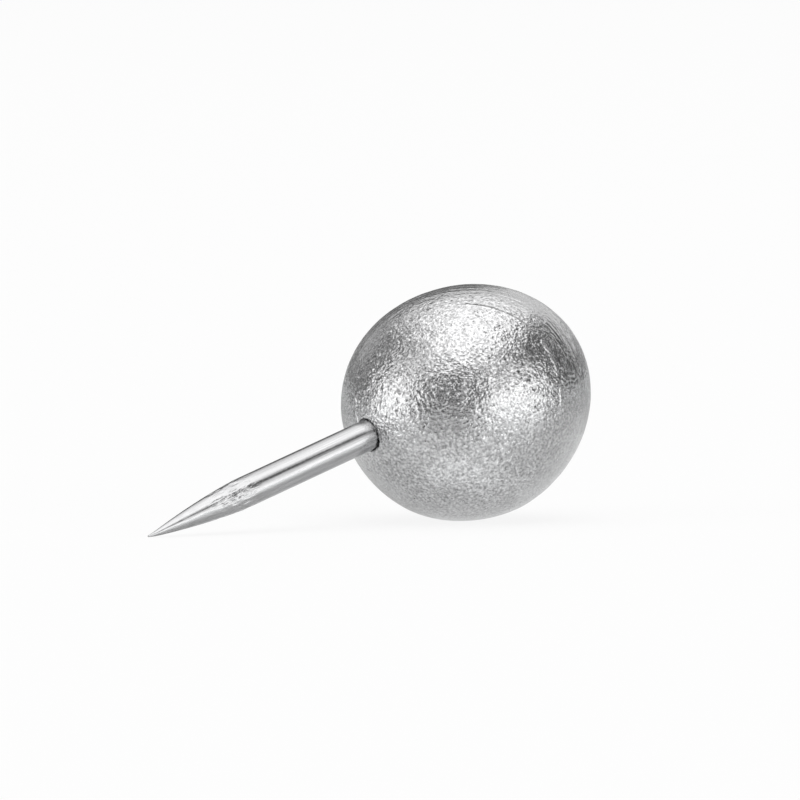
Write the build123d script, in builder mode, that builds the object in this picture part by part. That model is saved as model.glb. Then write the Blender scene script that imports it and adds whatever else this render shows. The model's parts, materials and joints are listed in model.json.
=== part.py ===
from build123d import *

import os
from math import atan, cos, sin, sqrt

# Ball-headed push pin, in millimetres, lying on a desk as it is put down.
#
# A plastic ball is moulded around the ring-grooved end of a plated steel pin, whose other end is
# ground to a point. The desk is z = 0: the ball and the point both touch it, so the tack leans.
# The point looks towards -X, and the middle of the tack stands over the origin.

# Ball. It is moulded slightly egg-shaped, longer along the pin than across it.
ball_across = 7.75
ball_long = 8.56
mouth_relief = 0.07  # gap that the mould leaves around the pin where it enters the ball
mouth_relief_depth = 0.18
mouth_rounding = 0.05  # softened rim of that gap

# Pin, outside the ball
pin_diameter = 1.02
pin_reach = 9.34  # from the ball's end to the point
point_length = 3.87  # ground taper
point_bulge = 29.0  # radius of the taper's belly: near-straight, as a ground point is
point_flat = 0.05  # width of the tiny flat left at the very point
shoulder_rounding = 6.0  # where the taper runs out into the shank

# Pin, inside the ball: rolled V-grooves that the plastic grips
groove_count = 4
groove_pitch = 1.15
groove_width = 0.72
groove_depth = 0.14
end_land = 0.7  # plain length past the last groove
end_chamfer = 0.16
moulding_gap = 0.01  # shrinkage left between the plastic and the steel

pin_radius = pin_diameter / 2
half_across = ball_across / 2
half_long = ball_long / 2


# How far the ball's outside has fallen back, along the pin, at a distance from the pin's axis
def ball_setback(radius):
    return half_long * (1 - sqrt(1 - (radius / half_across) ** 2))


# Lean of the tack. Seen from the side, the desk is a line through the point's lower rim that
# touches the ball's ellipse, so its slope solves
#     centre_to_point * slope + rim = sqrt((half_long * slope) ** 2 + half_across ** 2)
rim = point_flat / 2
centre_to_point = half_long + pin_reach
square_term = centre_to_point**2 - half_long**2
half_linear_term = centre_to_point * rim
root = sqrt(half_linear_term**2 + square_term * (half_across**2 - rim**2))
lean = atan((root - half_linear_term) / square_term)

ball_centre_height = sqrt((half_long * sin(lean)) ** 2 + (half_across * cos(lean)) ** 2)
ball_overhang = sqrt((half_long * cos(lean)) ** 2 + (half_across * sin(lean)) ** 2)
point_overhang = centre_to_point * cos(lean) + rim * sin(lean)

# Every profile is drawn on this upright plane through the pin's axis. Its x runs along the pin from
# the point to the ball, with x = 0 at the ball's end, and its y is the distance from the axis.
along_pin = Vector(cos(lean), 0, sin(lean))
ball_centre = Vector((point_overhang - ball_overhang) / 2, 0, ball_centre_height)
tack_plane = Plane(origin=ball_centre - along_pin * half_long, x_dir=along_pin, z_dir=(0, -1, 0))
tack_axis = Axis(tack_plane.origin, along_pin)

mouth = ball_setback(pin_radius)
anchor_end = mouth + groove_count * groove_pitch + end_land


# Outline of the anchoring end from the mouth to the pin's axis, grown outward by a gap
def anchor_outline(gap):
    radius = pin_radius + gap
    far_end = anchor_end + gap
    for groove in range(groove_count):
        start = mouth + groove * groove_pitch
        Polyline(
            (start, radius),
            (start + groove_width / 2, radius - groove_depth),
            (start + groove_width, radius),
            (start + groove_pitch, radius),
        )
    Polyline(
        (anchor_end - end_land, radius),
        (far_end - end_chamfer, radius),
        (far_end, radius - end_chamfer),
        (far_end, 0),
    )


# Steel pin: one turned profile from the point to the anchoring end
with BuildPart() as steel_pin:
    with BuildSketch(tack_plane):
        with BuildLine():
            point = (-pin_reach, rim)
            shoulder = (-pin_reach + point_length, pin_radius)
            Line((-pin_reach, 0), point)
            RadiusArc(point, shoulder, point_bulge)
            Line(shoulder, (mouth, pin_radius))
            anchor_outline(0)
            Line((anchor_end, 0), (-pin_reach, 0))
        taper = make_face()
        fillet(taper.vertices().sort_by_distance(shoulder)[0], shoulder_rounding)
    revolve(axis=tack_axis)
steel_pin.part.label = "steel_pin"

# Ball head: the moulded ball, the cavity around the anchoring end, and the mouth's narrow gap
with BuildPart() as ball_head:
    with BuildSketch(tack_plane):
        with BuildLine():
            EllipticalCenterArc((half_long, 0), half_long, half_across, 0, arc_size=180)
            Line((0, 0), (ball_long, 0))
        make_face()
    revolve(axis=tack_axis)
    with BuildSketch(tack_plane):
        with BuildLine():
            cavity_start = (mouth, pin_radius + moulding_gap)
            anchor_outline(moulding_gap)
            Polyline((anchor_end + moulding_gap, 0), (0, 0), (0, pin_radius + moulding_gap), cavity_start)
        make_face()
    revolve(axis=tack_axis, mode=Mode.SUBTRACT)
    with BuildSketch(tack_plane):
        Rectangle(mouth + mouth_relief_depth, pin_radius + mouth_relief, align=Align.MIN)
    revolve(axis=tack_axis, mode=Mode.SUBTRACT)
    mouth_edge = ball_head.edges().filter_by(GeomType.CIRCLE).sort_by(tack_axis)[0]
    fillet(mouth_edge, mouth_rounding)
ball_head.part.label = "ball_head"

os.makedirs("parts", exist_ok=True)
for piece in (ball_head, steel_pin):
    export_step(piece.part, f"parts/{piece.part.label}.step")
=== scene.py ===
import json
import math

import bpy
from mathutils import Matrix, Vector, noise


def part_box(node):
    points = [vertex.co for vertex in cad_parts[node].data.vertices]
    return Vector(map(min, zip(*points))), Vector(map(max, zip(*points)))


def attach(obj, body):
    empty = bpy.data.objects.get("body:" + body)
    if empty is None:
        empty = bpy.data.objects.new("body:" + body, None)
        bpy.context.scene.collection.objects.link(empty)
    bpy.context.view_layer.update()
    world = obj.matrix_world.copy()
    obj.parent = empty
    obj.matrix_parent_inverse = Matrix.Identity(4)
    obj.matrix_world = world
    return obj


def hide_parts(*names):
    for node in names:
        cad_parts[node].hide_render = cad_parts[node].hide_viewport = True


# Looks of a ball-headed push pin: a silver-coated plastic ball on a plated steel pin, lying on a desk.
# Lengths are metres, and MM turns a length in millimetres into metres.

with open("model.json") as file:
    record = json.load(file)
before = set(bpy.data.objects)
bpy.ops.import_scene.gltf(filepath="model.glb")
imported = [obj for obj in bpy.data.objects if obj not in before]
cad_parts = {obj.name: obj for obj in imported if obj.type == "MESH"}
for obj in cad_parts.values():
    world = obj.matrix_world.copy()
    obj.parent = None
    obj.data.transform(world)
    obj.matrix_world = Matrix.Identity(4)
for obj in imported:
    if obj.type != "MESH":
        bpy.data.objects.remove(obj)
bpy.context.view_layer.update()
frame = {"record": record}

MM = 0.001

# ---------------------------------------------------------------- places and sizes, from the frame

shank = next(mount for mount in frame["record"]["mounts"] if mount["name"] == "shank")
mouth_place = Vector(shank["pos_m"])
along = -Vector(shank["axis"]).normalized()  # along the pin, from the point to the ball
across = Vector((0, 1, 0))
pin_radius = shank["dims"]["r_mm"] * MM

ball_low, ball_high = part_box("ball_head")
pin_low, pin_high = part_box("steel_pin")
ball_centre = (ball_low + ball_high) / 2
half_across = (ball_high.y - ball_low.y) / 2
mouth_distance = (ball_centre - mouth_place).dot(along)
half_long = mouth_distance / math.sqrt(1 - (pin_radius / half_across) ** 2)
point_distance = mouth_distance + (mouth_place.x - pin_low.x) / along.x  # from the ball's centre
pin_length = (pin_high.x - pin_low.x) / along.x

# The pin is tilted a little about its point, so it enters the ball off its middle, as in the photograph
PIN_TILT = math.radians(1.68)


def axes_at(origin, x_axis):
    """A frame at origin whose x runs along the tack and whose y is level."""
    z_axis = x_axis.cross(across)
    return Matrix.Translation(origin) @ Matrix((x_axis, across, z_axis)).transposed().to_4x4()


BALL_FRAME = axes_at(ball_centre, along)
point_place = ball_centre - along * point_distance
PIN_FRAME = axes_at(point_place, Matrix.Rotation(-PIN_TILT, 3, across) @ along)
mouth_offset = (point_distance - half_long) * math.tan(PIN_TILT)

# ---------------------------------------------------------------- the camera's view

VIEW_AZIMUTH = math.radians(-38.1)
VIEW_ELEVATION = math.radians(3.3)
FRAME_PIXELS = 800
PIXELS_PER_MM = 30.4
BALL_PIXEL = (466.4, 401.9)  # where the ball's centre lies in the photograph
CAMERA_DISTANCE = 350 * MM

view_right = Vector((math.cos(VIEW_AZIMUTH), math.sin(VIEW_AZIMUTH), 0))
towards_camera = Vector((math.sin(VIEW_AZIMUTH), -math.cos(VIEW_AZIMUTH), 0))
view_back = towards_camera * math.cos(VIEW_ELEVATION) + Vector((0, 0, math.sin(VIEW_ELEVATION)))
view_up = view_back.cross(view_right)

# ---------------------------------------------------------------- shape of the two pieces

# Mouth and cavity of the ball
GAP = 0.03 * MM  # dark gap between the coating and the pin
GAP_DEPTH = 0.16 * MM
GAP_SUPPORT = 0.02 * MM  # an extra ring of points at its bottom, which keeps the shading there crisp
LEAST_GAP = 0.006 * MM  # where the coating's uneven edge comes closest to the pin
LIP = 0.045 * MM  # rounded lip of the coating around that gap
LIP_STEPS = 6
RAGGED = 0.06 * MM  # how uneven the coating's edge is there
RAGGED_PACE = 4  # how quickly that changes around the pin
CAVITY_GAP = 0.01 * MM
END_GAP = 0.03 * MM  # between the pin's inner end, which is tilted a little, and the cavity's end

# Outside of the ball
WAVES = ((0.5 * MM, 0.007 * MM), (0.2 * MM, 0.003 * MM))  # widths and heights of its fine unevenness
LOBE_HEIGHT = 0.045 * MM  # the ball is a little three-cornered as the camera sees it
LOBE_TURN = math.radians(37.9)
DESK_FADE = 0.6 * MM  # height above the desk below which waves and lobes fade out
BALL_RINGS = 226
BALL_SEGMENTS = 400

# Pin
TAPER = 3.87 * MM
TAPER_STEPS = 130
BELLY = 29.0 * MM  # radius of the taper's belly
TIP_RADIUS = 0.025 * MM
TIP_SUPPORT = 0.6  # radius of an extra ring of points on the tip's tiny flat, as a share of the tip's
TIP_BEND = 0.025 * MM  # the very tip is bent up a little
TIP_BEND_LENGTH = 0.4 * MM
CHIPS_FROM_TIP = 3.4 * MM  # middle of the stretch that the grinding left rough
CHIPS_REACH = 1.1 * MM  # half the length of that stretch
CHIPS_FADE = 0.5 * MM
CHIP_WIDTH = 0.12 * MM
CHIP_DEPTH = 0.03 * MM
CHIP_STRETCH = 0.35  # the chips are longer along the pin than around it, by one over this
INNER_CHAMFER = 0.2 * MM
SHANK_STEPS = 60
PIN_SEGMENTS = 128


def lathe(name, place, profile, segments, displace):
    """A closed turned mesh around the x axis of the frame place. profile is a list of (x, radius)
    whose two ends have radius 0, and displace moves each of its points before it is placed."""
    turns = [2 * math.pi * k / segments for k in range(segments)]
    points = [Vector((profile[0][0], 0, 0))]
    for x, radius in profile[1:-1]:
        points += [Vector((x, radius * math.cos(t), radius * math.sin(t))) for t in turns]
    points.append(Vector((profile[-1][0], 0, 0)))
    points = [place @ displace(p) for p in points]
    rings = len(profile) - 2
    last = len(points) - 1
    faces = []
    for k in range(segments):
        n = (k + 1) % segments
        faces.append((0, 1 + n, 1 + k))
        for ring in range(rings - 1):
            a = 1 + ring * segments
            b = a + segments
            faces.append((a + k, a + n, b + n, b + k))
        a = 1 + (rings - 1) * segments
        faces.append((last, a + k, a + n))
    mesh = bpy.data.meshes.new(name)
    mesh.from_pydata(points, [], faces)
    mesh.update()
    mesh.shade_smooth()
    piece = bpy.data.objects.new(name, mesh)
    bpy.context.scene.collection.objects.link(piece)
    return piece


# ---------------------------------------------------------------- nodes of a material


def new_material(name):
    material = bpy.data.materials.new(name)
    material.use_nodes = True
    tree = material.node_tree
    tree.nodes.clear()
    return material, tree


def node(tree, kind, inputs=None, **settings):
    """A node with its settings and the values or links of its inputs."""
    made = tree.nodes.new(kind)
    for key, value in settings.items():
        setattr(made, key, value)
    for key, value in (inputs or {}).items():
        if isinstance(value, bpy.types.NodeSocket):
            tree.links.new(value, made.inputs[key])
        else:
            made.inputs[key].default_value = value
    return made


def maths(tree, operation, *values):
    """What an operation makes of its values, which are numbers or links."""
    return node(tree, "ShaderNodeMath", dict(enumerate(values)), operation=operation).outputs["Value"]


def vectors(tree, operation, *values, output="Vector"):
    """The same for vectors, with output "Value" for an operation whose result is one number."""
    made = node(tree, "ShaderNodeVectorMath", dict(enumerate(values)), operation=operation)
    return made.outputs[output]


def scaled(tree, vector, factor):
    inputs = {0: vector, "Scale": factor}
    return node(tree, "ShaderNodeVectorMath", inputs, operation="SCALE").outputs["Vector"]


def remap(tree, value, old_range, new_range):
    """value turned from one range into another, and held at its ends."""
    inputs = {
        "Value": value,
        "From Min": old_range[0],
        "From Max": old_range[1],
        "To Min": new_range[0],
        "To Max": new_range[1],
    }
    return node(tree, "ShaderNodeMapRange", inputs).outputs["Result"]


def place_in(tree, frame_of_piece):
    """Where a point of the surface lies in the frame of its piece."""
    inputs = {
        "Vector": node(tree, "ShaderNodeTexCoord").outputs["Object"],
        "Location": frame_of_piece.to_translation(),
        "Rotation": frame_of_piece.to_euler(),
    }
    return node(tree, "ShaderNodeMapping", inputs, vector_type="TEXTURE").outputs["Vector"]


NOISE_RANGE = (0.3, 0.7)  # nearly all values of a noise lie in it


def noise_of(tree, place, feature, detail=2.0, rough=0.5):
    """Noise whose blobs are about feature metres wide."""
    inputs = {"Vector": place, "Scale": 1 / feature, "Detail": detail, "Roughness": rough}
    return node(tree, "ShaderNodeTexNoise", inputs).outputs["Fac"]


def relief(tree, layers):
    """The normal of a surface with layers of relief on it, given as (height link, metres)."""
    normal = None
    for height, distance in layers:
        inputs = {"Height": height, "Distance": distance, "Strength": 1.0}
        if normal:
            inputs["Normal"] = normal
        normal = node(tree, "ShaderNodeBump", inputs).outputs["Normal"]
    return normal


# ---------------------------------------------------------------- the ball's silver coating

COAT_COLOUR = (0.55, 0.55, 0.555)
COAT_ROUGHNESS = (0.2, 0.28)
LACQUER_ROUGHNESS = 0.25
GRAIN_WIDTH, GRAIN_HEIGHT = 0.095 * MM, 0.03 * MM  # the fine crinkles
GRAIN_DETAIL = 1.5
GRAIN_PAINTED_LIGHT = (0.62, 1.33)  # painted shade and highlight: the colour's brightness in the crinkles' hollows and on their tops
COARSE_WIDTH, COARSE_HEIGHT = 0.30 * MM, 0.03 * MM
LINE_WIDTH, LINE_HEIGHT = 0.16 * MM, 0.008 * MM  # faint brushed lines
LINE_STRETCH = (1, 1, 0.12)
FLAKE_WIDTH = 0.075 * MM
FLAKE_DETAIL = 1.0
FLAKE_TONE = (0.8, 1.25)
GLINT_WIDTH, GLINT_TILT = 0.085 * MM, 0.55
GLINT_RARITY = 4.0  # the higher, the fewer of the flakes tilt far
PATCH_WIDTH, PATCH_DETAIL = 1.8 * MM, 1.0  # patches where the grain is weaker or stronger
PATCH_NOISE, PATCH_STRENGTH = (0.35, 0.65), (0.7, 1.25)

# Rings of the mould, around an axis that is a guess: nearly towards the camera, since the photographed
# streaks follow the ball's outline. A level is 0 at the parting plane and 1 where the axis comes out.
MOULD_LEAN = 0.06  # to the left of the camera
MOULD_AXIS = BALL_FRAME.to_3x3().transposed() @ (view_back - view_right * MOULD_LEAN).normalized()
STREAK_WIDTH, STREAK_HEIGHT = 0.15 * MM, 0.06 * MM
STREAK_DRIFT = 0.06  # how much a streak changes on its way around
STREAK_LEVELS = (0.25, 0.6)  # between which the streaks fade out
RING_LEVEL, RING_SPREAD = 0.56, 0.02
RING_HEIGHT = 0.025 * MM
RING_BREAK_WIDTH, RING_BREAK_ROUGH = 1.6 * MM, 0.6
RING_BREAK_NOISE = (0.5, 0.58)
CALM_LEVELS = (0.2, 0.6)  # between which the grain comes to its full strength
CALMEST = 0.3


def flake_tilt(tree, place):
    """Random tilts of small patches, most of them slight and a few steep enough to glint."""
    inputs = {"Vector": place, "Scale": 1 / GLINT_WIDTH}
    cells = node(tree, "ShaderNodeTexVoronoi", inputs).outputs["Color"]
    chance = node(tree, "ShaderNodeSeparateXYZ", {0: cells}).outputs["X"]
    size = maths(tree, "MULTIPLY", maths(tree, "POWER", chance, GLINT_RARITY), GLINT_TILT)
    return scaled(tree, vectors(tree, "SUBTRACT", cells, (0.5, 0.5, 0.5)), size)


def mould_rings(tree, place):
    """Heights of the fine streaks that the mould left towards its parting plane, and of one broken
    ring on each half. Also the grain's strength, which is less near that plane."""
    way = vectors(tree, "NORMALIZE", place)
    level = maths(tree, "ABSOLUTE", vectors(tree, "DOT_PRODUCT", way, MOULD_AXIS, output="Value"))
    depth = maths(tree, "MULTIPLY", level, half_across)
    around = node(tree, "ShaderNodeCombineXYZ", {"X": depth}).outputs["Vector"]
    around = vectors(tree, "ADD", around, scaled(tree, place, STREAK_DRIFT))
    near_parting = remap(tree, level, STREAK_LEVELS, (1.0, 0.0))
    streaks = maths(tree, "MULTIPLY", noise_of(tree, around, STREAK_WIDTH), near_parting)
    off_ring = maths(tree, "ABSOLUTE", maths(tree, "SUBTRACT", level, RING_LEVEL))
    breaks = noise_of(tree, place, RING_BREAK_WIDTH, rough=RING_BREAK_ROUGH)
    broken = remap(tree, breaks, RING_BREAK_NOISE, (0.0, 1.0))
    ring = maths(tree, "MULTIPLY", remap(tree, off_ring, (0.0, RING_SPREAD), (1.0, 0.0)), broken)
    calm = remap(tree, level, CALM_LEVELS, (CALMEST, 1.0))
    return streaks, ring, calm


def coat_material():
    """Silver coating: metallic, with a fine crinkled grain, glinting flakes and faint brushed lines,
    and with painted shade in the crinkles' hollows and painted highlights on their tops.
    """
    material, tree = new_material("silver_coating")
    place = place_in(tree, BALL_FRAME)
    streaks, ring, calm = mould_rings(tree, place)

    grain = noise_of(tree, place, GRAIN_WIDTH, GRAIN_DETAIL)
    coarse = noise_of(tree, place, COARSE_WIDTH)
    lines = noise_of(tree, vectors(tree, "MULTIPLY", place, LINE_STRETCH), LINE_WIDTH)
    patches = remap(tree, noise_of(tree, place, PATCH_WIDTH, PATCH_DETAIL), PATCH_NOISE, PATCH_STRENGTH)
    strong = maths(tree, "MULTIPLY", maths(tree, "MULTIPLY", grain, patches), calm)
    layers = [
        (strong, GRAIN_HEIGHT),
        (lines, LINE_HEIGHT),
        (coarse, COARSE_HEIGHT),
        (streaks, STREAK_HEIGHT),
        (ring, RING_HEIGHT),
    ]
    tilt = scaled(tree, flake_tilt(tree, place), calm)
    normal = vectors(tree, "NORMALIZE", vectors(tree, "ADD", relief(tree, layers), tilt))

    flakes = noise_of(tree, place, FLAKE_WIDTH, FLAKE_DETAIL)
    flake_tone = remap(tree, flakes, NOISE_RANGE, FLAKE_TONE)
    # painted shade and highlight: the noise that raises the crinkles also darkens their hollows and
    # lightens their tops
    grain_painted_light = remap(tree, grain, NOISE_RANGE, GRAIN_PAINTED_LIGHT)
    tone_and_light_contrast = maths(tree, "ADD", maths(tree, "MULTIPLY", flake_tone, grain_painted_light), -1.0)
    tone_and_painted_light = maths(tree, "MULTIPLY_ADD", tone_and_light_contrast, calm, 1.0)

    inputs = {
        # colour that varies at random from flake to flake, with the crinkles' painted shade and
        # highlights
        "Base Color": scaled(tree, COAT_COLOUR, tone_and_painted_light),
        "Metallic": 1.0,
        "Roughness": remap(tree, coarse, NOISE_RANGE, COAT_ROUGHNESS),
        "Normal": normal,
        "Coat Weight": 1.0,
        "Coat Roughness": LACQUER_ROUGHNESS,
        "Coat Normal": normal,
    }
    shader = node(tree, "ShaderNodeBsdfPrincipled", inputs)
    node(tree, "ShaderNodeOutputMaterial", {"Surface": shader.outputs["BSDF"]})
    return material


# ---------------------------------------------------------------- the pin's plated steel

STEEL_COLOUR = (0.515, 0.515, 0.52)
STEEL_ROUGHNESS = (0.14, 0.22)
DRAWN_WIDTH, DRAWN_HEIGHT = 0.06 * MM, 0.004 * MM  # lines that the drawing left along the wire
DRAWN_STRETCH = (0.04, 1, 1)
DRAWN_TONE = (0.9, 1.06)
FINE_WIDTH, FINE_HEIGHT = 0.08 * MM, 0.0015 * MM
PIT_WIDTH, PIT_HEIGHT = 0.11 * MM, 0.01 * MM  # roughness of the chips
PIT_STRETCH = (0.3, 1, 1)
PIT_ROUGH = 0.6
PIT_NOISE = (0.4, 0.65)


def steel_material():
    """Bright plated steel with faint drawing lines along the wire, and rough chips that the grinding
    left where the point begins."""
    material, tree = new_material("plated_steel")
    place = place_in(tree, PIN_FRAME)

    lines = noise_of(tree, vectors(tree, "MULTIPLY", place, DRAWN_STRETCH), DRAWN_WIDTH)
    fine = noise_of(tree, place, FINE_WIDTH)
    from_tip = node(tree, "ShaderNodeSeparateXYZ", {0: place}).outputs["X"]
    away = maths(tree, "ABSOLUTE", maths(tree, "SUBTRACT", from_tip, CHIPS_FROM_TIP))
    there = remap(tree, away, (CHIPS_REACH - CHIPS_FADE, CHIPS_REACH), (1.0, 0.0))
    pits = noise_of(tree, vectors(tree, "MULTIPLY", place, PIT_STRETCH), PIT_WIDTH, rough=PIT_ROUGH)
    chips = maths(tree, "MULTIPLY", remap(tree, pits, PIT_NOISE, (0.0, 1.0)), there)

    inputs = {
        "Base Color": scaled(tree, STEEL_COLOUR, remap(tree, lines, NOISE_RANGE, DRAWN_TONE)),
        "Metallic": 1.0,
        "Roughness": remap(tree, fine, NOISE_RANGE, STEEL_ROUGHNESS),
        "Normal": relief(tree, [(lines, DRAWN_HEIGHT), (fine, FINE_HEIGHT), (chips, PIT_HEIGHT)]),
    }
    shader = node(tree, "ShaderNodeBsdfPrincipled", inputs)
    node(tree, "ShaderNodeOutputMaterial", {"Surface": shader.outputs["BSDF"]})
    return material


# ---------------------------------------------------------------- the ball

hole = pin_radius + GAP
lip_out = hole + LIP
end_zone = half_long * 0.95  # a point inside the lip belongs to the mouth or the far end beyond this
SAME = 1.0001  # allowance for rounding, so that the lip's outermost ring counts as lip


def ball_profile():
    """From the bottom of the cavity around the pin's inner end, out of the mouth and over the ball."""
    cavity = pin_radius + CAVITY_GAP
    cavity_end = pin_length - point_distance + END_GAP
    lip_x = -half_long * math.sqrt(1 - (lip_out / half_across) ** 2)
    profile = [(cavity_end, 0), (cavity_end, cavity / 2), (cavity_end, cavity)]
    profile.append((lip_x + GAP_DEPTH + GAP_SUPPORT, cavity))
    profile.append((lip_x + GAP_DEPTH, cavity))
    profile.append((lip_x + GAP_DEPTH, hole))
    for k in range(LIP_STEPS + 1):
        t = math.pi / 2 * k / LIP_STEPS
        profile.append((lip_x + LIP * (1 - math.sin(t)), hole + LIP * (1 - math.cos(t))))
    start = math.asin(lip_out / half_across)
    for k in range(1, BALL_RINGS):
        t = start + (math.pi - start) * k / BALL_RINGS
        profile.append((-half_long * math.cos(t), half_across * math.sin(t)))
    profile.append((half_long, 0))
    return profile


def surface_x(y, z):
    """Where the ball's near side lies along the pin, at a distance (y, z) from the ball's own axis."""
    return -half_long * math.sqrt(max(0, 1 - (y * y + z * z) / half_across**2))


def lobes(way):
    """How far the ball, which is slightly three-cornered, stands out in the direction way."""
    seen = BALL_FRAME.to_3x3() @ way
    right, up = seen.dot(view_right), seen.dot(view_up)
    return LOBE_HEIGHT * (right * right + up * up) * math.cos(3 * (math.atan2(up, right) - LOBE_TURN))


def unevenness(p):
    """How far the coating's outside stands out at p, and nothing where the ball meets the desk."""
    waves = sum(noise.noise(p / width) * height for width, height in WAVES)
    above_desk = (BALL_FRAME @ p).z
    return (waves + lobes(p.normalized())) * min(1, max(0, above_desk / DESK_FADE))


def shape_ball(p):
    """Moves the mouth and the cavity onto the pin's axis, with the lip in the ball's own surface, and
    makes the coating's outside a little uneven."""
    radius = math.hypot(p.y, p.z)
    if radius <= lip_out * SAME and p.x < end_zone:
        x, ragged = p.x, 1
        if p.x < -end_zone:
            x += surface_x(p.y, p.z + mouth_offset) - surface_x(p.y, p.z)
            x -= unevenness(Vector((p.x, p.y, p.z + mouth_offset)))
            turn = Vector((0, p.y, p.z)) / radius
            closest = pin_radius + LEAST_GAP - radius
            ragged += max(noise.noise(turn * RAGGED_PACE) * RAGGED, closest) / radius
        rise = (x + point_distance) * math.tan(PIN_TILT)
        return Vector((x, p.y * ragged, p.z * ragged + rise))
    if p.x < 0:
        nearness = (1 - (radius / half_across) ** 2) / (1 - (lip_out / half_across) ** 2)
        z = p.z + mouth_offset * nearness
        p = Vector((surface_x(p.y, z), p.y, z))
    return p + p.normalized() * unevenness(p)


def make_ball():
    ball = lathe("ball", BALL_FRAME, ball_profile(), BALL_SEGMENTS, shape_ball)
    ball.data.materials.append(coat_material())
    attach(ball, "root")
    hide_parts("ball_head")


# ---------------------------------------------------------------- the pin


def taper_radius(s):
    """Radius of the ground point at a distance s from its tip."""
    chord = math.hypot(TAPER, pin_radius - TIP_RADIUS)
    straight = TIP_RADIUS + (pin_radius - TIP_RADIUS) * s / TAPER
    off = s / TAPER * chord - chord / 2
    bulge = math.sqrt(BELLY**2 - off**2) - math.sqrt(BELLY**2 - (chord / 2) ** 2)
    return min(pin_radius, straight + bulge)


def pin_profile():
    """From the tip over the ground point and the shank to the chamfered end inside the ball."""
    profile = [(0, 0), (0, TIP_RADIUS * TIP_SUPPORT)]
    for k in range(TAPER_STEPS + 1):
        s = TAPER * k / TAPER_STEPS
        profile.append((s, taper_radius(s)))
    shank_length = pin_length - INNER_CHAMFER - TAPER
    for k in range(1, SHANK_STEPS + 1):
        profile.append((TAPER + shank_length * k / SHANK_STEPS, pin_radius))
    profile.append((pin_length, pin_radius - INNER_CHAMFER))
    profile.append((pin_length, 0))
    return profile


def finish_grinding(p):
    """Chips the stretch where the point begins, and bends the very tip up."""
    radius = math.hypot(p.y, p.z)
    chipped = min(1, max(0, (CHIPS_REACH - abs(p.x - CHIPS_FROM_TIP)) / CHIPS_FADE))
    if radius > 0:
        place = Vector((p.x * CHIP_STRETCH, p.y, p.z)) / CHIP_WIDTH
        depth = chipped * CHIP_DEPTH * max(0, noise.noise(place)) / radius
        p = Vector((p.x, p.y * (1 - depth), p.z * (1 - depth)))
    share = max(0, 1 - p.x / TIP_BEND_LENGTH)
    return Vector((p.x, p.y, p.z + TIP_BEND * share * share))


def make_pin():
    pin = lathe("pin", PIN_FRAME, pin_profile(), PIN_SEGMENTS, finish_grinding)
    pin.data.materials.append(steel_material())
    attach(pin, "root")
    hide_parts("steel_pin")


# ---------------------------------------------------------------- camera


def make_camera():
    data = bpy.data.cameras.new("camera")
    camera = bpy.data.objects.new("camera", data)
    bpy.context.scene.collection.objects.link(camera)
    width = FRAME_PIXELS / PIXELS_PER_MM * MM
    data.sensor_width = 36
    data.lens = data.sensor_width * CAMERA_DISTANCE / width
    data.clip_start = 0.01
    data.clip_end = 20
    right = (FRAME_PIXELS / 2 - BALL_PIXEL[0]) / PIXELS_PER_MM * MM
    up = (BALL_PIXEL[1] - FRAME_PIXELS / 2) / PIXELS_PER_MM * MM
    camera.location = ball_centre + view_back * CAMERA_DISTANCE + view_right * right + view_up * up
    camera.rotation_mode = "QUATERNION"
    camera.rotation_quaternion = view_back.to_track_quat("Z", "Y")
    bpy.context.scene.camera = camera


# ---------------------------------------------------------------- floor

FLOOR_RADIUS = 2.5
FLOOR_EDGE = ((0, 0), (0.05, 0.015), (0.07, 0.06), (0.07, 0.16))  # out and up from that radius
FLOOR_SEGMENTS = 96
FLOOR_COLOUR = (0.92, 0.92, 0.92, 1)
FLOOR_WHITENESS = 0.87  # how much of the floor that the camera sees is plain white
PAINTED_GLOW_NEAR, PAINTED_GLOW_FAR = 0.85, 0.25  # and how much of it the metal mirrors as plain white: a painted pool of light, largest under the ball and smaller farther off
PAINTED_GLOW_START, PAINTED_GLOW_END = 1 * MM, 5 * MM  # distances from the ball's foot between which that falls
WHITE = (1, 1, 1, 1)
SHEEN_IOR = 3.5  # the floor has a sheen, strongest at low angles, which only the metal shows
SHEEN_COLOUR = (0.98, 1, 1, 1)
SHEEN_ROUGHNESS = 0.15


def floor_material():
    """White where it is seen, straight or in metal, where it is brightest around the ball's foot as a
    painted pool of light, and a plain pale floor for the light it bounces.
    """
    material, tree = new_material("floor_paper")
    rays = node(tree, "ShaderNodeLightPath").outputs
    seen = maths(tree, "MULTIPLY", rays["Is Camera Ray"], FLOOR_WHITENESS)
    place = node(tree, "ShaderNodeTexCoord").outputs["Object"]
    foot = (ball_centre.x, ball_centre.y, 0)
    far = vectors(tree, "DISTANCE", place, foot, output="Value")
    # painted pool of light: a share of plain white that only glossy rays see, largest at the ball's
    # foot
    painted_glow = remap(tree, far, (PAINTED_GLOW_START, PAINTED_GLOW_END), (PAINTED_GLOW_NEAR, PAINTED_GLOW_FAR))
    painted_glow_in_metal = maths(tree, "MULTIPLY", rays["Is Glossy Ray"], painted_glow)
    share = maths(tree, "ADD", seen, painted_glow_in_metal)
    plain = node(tree, "ShaderNodeBsdfDiffuse", {"Color": FLOOR_COLOUR}).outputs["BSDF"]
    white = node(tree, "ShaderNodeEmission", {"Color": WHITE, "Strength": 1.0}).outputs["Emission"]
    matte = node(tree, "ShaderNodeMixShader", {0: share, 1: plain, 2: white}).outputs["Shader"]
    grazing = node(tree, "ShaderNodeFresnel", {"IOR": SHEEN_IOR}).outputs["Fac"]
    sheen = maths(tree, "MULTIPLY", rays["Is Glossy Ray"], grazing)
    inputs = {"Color": SHEEN_COLOUR, "Roughness": SHEEN_ROUGHNESS}
    mirror = node(tree, "ShaderNodeBsdfGlossy", inputs).outputs["BSDF"]
    mixed = node(tree, "ShaderNodeMixShader", {0: sheen, 1: matte, 2: mirror}).outputs["Shader"]
    node(tree, "ShaderNodeOutputMaterial", {"Surface": mixed})
    return material


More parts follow.
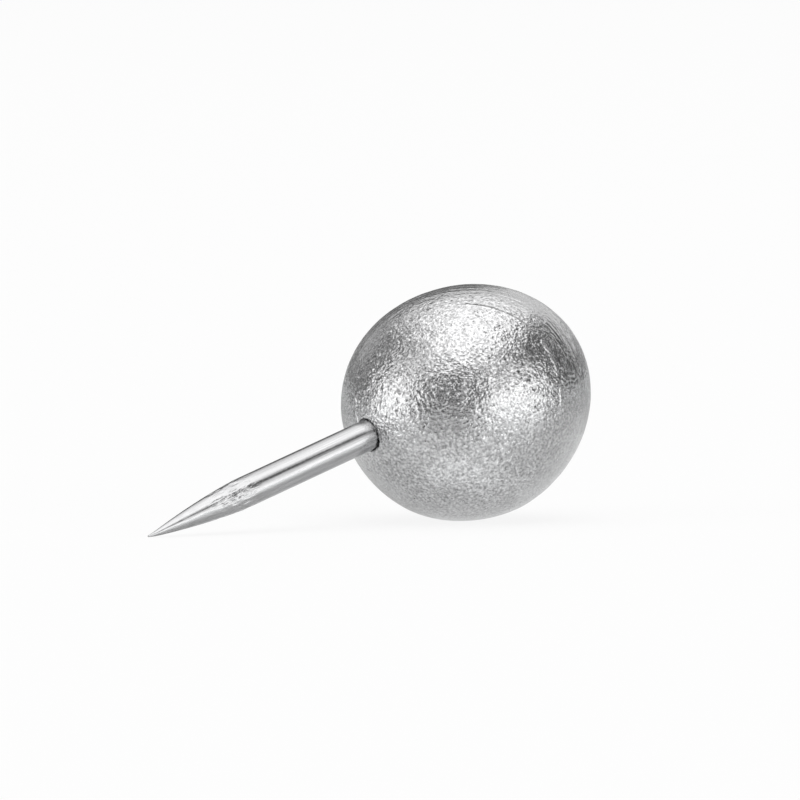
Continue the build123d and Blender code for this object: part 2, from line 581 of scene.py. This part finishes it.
def make_floor():
    """A wide paper floor whose far edge turns up a little."""
    points, faces = [Vector((0, 0, 0))], []
    for out, z in FLOOR_EDGE:
        radius = FLOOR_RADIUS + out
        for k in range(FLOOR_SEGMENTS):
            t = 2 * math.pi * k / FLOOR_SEGMENTS
            points.append(Vector((radius * math.cos(t), radius * math.sin(t), z)))
    for k in range(FLOOR_SEGMENTS):
        n = (k + 1) % FLOOR_SEGMENTS
        faces.append((0, 1 + k, 1 + n))
        for ring in range(len(FLOOR_EDGE) - 1):
            a = 1 + ring * FLOOR_SEGMENTS
            b = a + FLOOR_SEGMENTS
            faces.append((a + k, b + k, b + n, a + n))
    mesh = bpy.data.meshes.new("floor")
    mesh.from_pydata(points, [], faces)
    floor = bpy.data.objects.new("floor", mesh)
    bpy.context.scene.collection.objects.link(floor)
    mesh.materials.append(floor_material())


# ---------------------------------------------------------------- light

ROOM_COLOUR = (0.13, 0.13, 0.13, 1)
LIGHT_DISTANCE = 1.5
LAYER_STEP = 0.01  # between the nested lamps that make a softbox brightest at its middle
LAYERS = 5
FOOT = 0.005  # height of a standing softbox's foot above the floor


def lamp(name, place, facing, width, height, radiance):
    """A plain area lamp at place that shines the way facing looks."""
    data = bpy.data.lights.new(name, "AREA")
    data.shape = "RECTANGLE"
    data.size, data.size_y = width, height
    data.energy = radiance * math.pi * width * height
    made = bpy.data.objects.new(name, data)
    bpy.context.scene.collection.objects.link(made)
    made.location = place
    made.rotation_euler = facing
    made.visible_camera = False


def overhead_softbox(smallest, largest, radiance):
    """Level rectangles of light above the tack. smallest and largest give their left, right, front
    and back edges, as the camera sees them, from the place above the tack."""
    for k in range(LAYERS):
        share = k / (LAYERS - 1)
        left, right, front, back = (a + (b - a) * share for a, b in zip(smallest, largest))
        place = view_right * (left + right) / 2 + towards_camera * (front + back) / 2
        place += Vector((0, 0, LIGHT_DISTANCE + LAYER_STEP * k))
        lamp(f"top_{k}", place, (0, 0, VIEW_AZIMUTH), right - left, front - back, radiance / LAYERS)


def standing_softbox(name, azimuth, width, shortest, tallest, radiance, foot=FOOT):
    """A softbox that stands around the tack, with lamps from shortest to tallest that share its foot,
    where it is brightest. azimuth is in degrees, 0 at the camera and 90 to its right."""
    turn = math.radians(azimuth)
    way = towards_camera * math.cos(turn) + view_right * math.sin(turn)
    for k in range(LAYERS):
        height = shortest + (tallest - shortest) * k / (LAYERS - 1)
        place = way * (LIGHT_DISTANCE + LAYER_STEP * k) + Vector((0, 0, foot + height / 2))
        facing = (math.pi / 2, 0, VIEW_AZIMUTH + turn)
        lamp(f"{name}_{k}", place, facing, width, height, radiance / LAYERS)


def make_light():
    world = bpy.data.worlds.new("room")
    world.use_nodes = True
    world.node_tree.nodes["Background"].inputs["Color"].default_value = ROOM_COLOUR
    bpy.context.scene.world = world
    overhead_softbox(smallest=(-0.2, 0.8, 1.0, -0.4), largest=(-1.2, 1.35, 2.3, -2.4), radiance=1.7)
    standing_softbox("left", -64, width=1.4, shortest=0.6, tallest=2.0, radiance=1.65)
    standing_softbox("right", 57, width=1.7, shortest=0.35, tallest=1.15, radiance=1.7)
    standing_softbox("back_right", 154, width=1.2, shortest=0.5, tallest=1.0, radiance=0.7, foot=0.25)
    standing_softbox("back_left", 222, width=1.2, shortest=0.6, tallest=1.2, radiance=0.4, foot=0.3)


make_ball()
make_pin()
make_camera()
make_floor()
make_light()

bpy.context.scene.view_settings.view_transform = "Standard"
